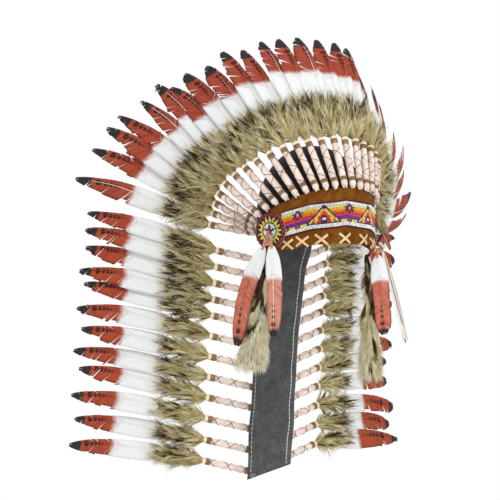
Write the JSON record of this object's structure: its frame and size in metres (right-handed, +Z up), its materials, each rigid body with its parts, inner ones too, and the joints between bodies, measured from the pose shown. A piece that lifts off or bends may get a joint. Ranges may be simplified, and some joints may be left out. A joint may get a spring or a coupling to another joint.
{
  "type": "feathered headdress",
  "caption": "Worn headdress: felt cap in a beaded suede brow band, a crown of sleeved plumes, a plumed felt trailer behind, and a rosette with feathers and fur at each temple",
  "frame": {"origin": "the middle of the head opening, level with the brow band's lower edge at the temples", "axes": "+Z up as worn, -Y the way the wearer faces, +X towards the wearer's left"},
  "size_m": [0.6211, 0.3979, 0.7166],
  "materials": {
    "cap_felt": "black wool felt, matt",
    "suede": "brown suede, short nap",
    "beads": "small opaque glass beads in rows, glossy",
    "plume": "plume with a laced pale leather sleeve, olive fur and a white, red-brown and black feather",
    "trailer_felt": "grey felt with a white running stitch near both edges",
    "feather": "feather, white at the quill, red-brown, black at the tip",
    "fur": "olive-brown fur with straw and dark streaks"
  },
  "bodies": {
    "root": {"cap": "cap_felt", "brow_band": "suede", "bead_strip": "beads", "crown_plume_01": "plume", "crown_plume_02": "plume", "crown_plume_03": "plume", "crown_plume_04": "plume", "crown_plume_05": "plume", "crown_plume_06": "plume", "crown_plume_07": "plume", "crown_plume_08": "plume", "crown_plume_09": "plume", "crown_plume_10": "plume", "crown_plume_11": "plume", "crown_plume_12": "plume", "crown_plume_13": "plume", "crown_plume_14": "plume", "crown_plume_15": "plume", "crown_plume_16": "plume", "crown_plume_17": "plume", "crown_plume_18": "plume", "crown_plume_19": "plume", "crown_plume_20": "plume", "crown_plume_21": "plume", "crown_plume_22": "plume", "crown_plume_23": "plume", "crown_plume_24": "plume", "crown_plume_25": "plume", "crown_plume_26": "plume", "trailer_plume_right_01": "plume", "trailer_plume_right_02": "plume", "trailer_plume_right_03": "plume", "trailer_plume_right_04": "plume", "trailer_plume_right_05": "plume", "trailer_plume_right_06": "plume", "trailer_plume_right_07": "plume", "trailer_plume_right_08": "plume", "trailer_plume_right_09": "plume", "trailer_plume_right_10": "plume", "trailer_plume_right_11": "plume", "trailer_plume_right_12": "plume", "trailer_plume_left_01": "plume", "trailer_plume_left_02": "plume", "trailer_plume_left_03": "plume", "trailer_plume_left_04": "plume", "trailer_plume_left_05": "plume", "trailer_plume_left_06": "plume", "trailer_plume_left_07": "plume", "trailer_plume_left_08": "plume", "trailer_plume_left_09": "plume", "trailer_plume_left_10": "plume", "trailer_plume_left_11": "plume", "trailer_plume_left_12": "plume", "felt_trailer": "trailer_felt", "rosette_right": "beads", "rosette_left": "beads", "drop_feathers_right": "feather", "drop_fur_right": "fur", "drop_feathers_left": "feather", "drop_fur_left": "fur"}
  },
  "joints": []
}
